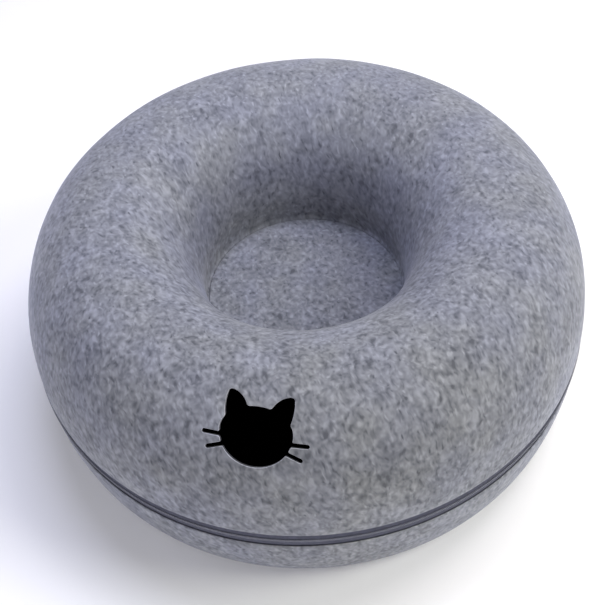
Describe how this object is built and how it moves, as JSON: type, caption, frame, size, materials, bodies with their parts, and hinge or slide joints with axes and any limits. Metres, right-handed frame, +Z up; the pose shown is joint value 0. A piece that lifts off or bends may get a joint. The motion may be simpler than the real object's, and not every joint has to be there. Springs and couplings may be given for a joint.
{
  "type": "felt donut cat bed",
  "caption": "Hollow ring-shaped cat bed of grey moulded felt with a sleeping well, a cat-head peephole in its shoulder and a zip round its side.",
  "frame": {"origin": "middle of the flat base, on the surface that the bed stands on", "axes": "+Z up, the cat-head peephole faces -Y and the zip's slider is at +Y"},
  "size_m": [0.5014, 0.5045, 0.2],
  "materials": {
    "felt": "heather grey needled felt, matt, with short light and dark fibres",
    "felt_floor": "the same heather grey felt, cut flat",
    "zip_tape": "dark slate woven zip tape, matt",
    "zip_coil": "grey nylon coil, slightly shiny",
    "zip_metal": "dark grey painted metal"
  },
  "bodies": {
    "root": {"felt_top_shell": "felt", "felt_bottom_shell": "felt", "well_floor": "felt_floor", "zip_tape_upper": "zip_tape", "zip_tape_lower": "zip_tape", "zip_coil_upper": "zip_coil", "zip_coil_lower": "zip_coil", "zip_slider": "zip_metal", "zip_pull": "zip_metal"}
  },
  "joints": []
}
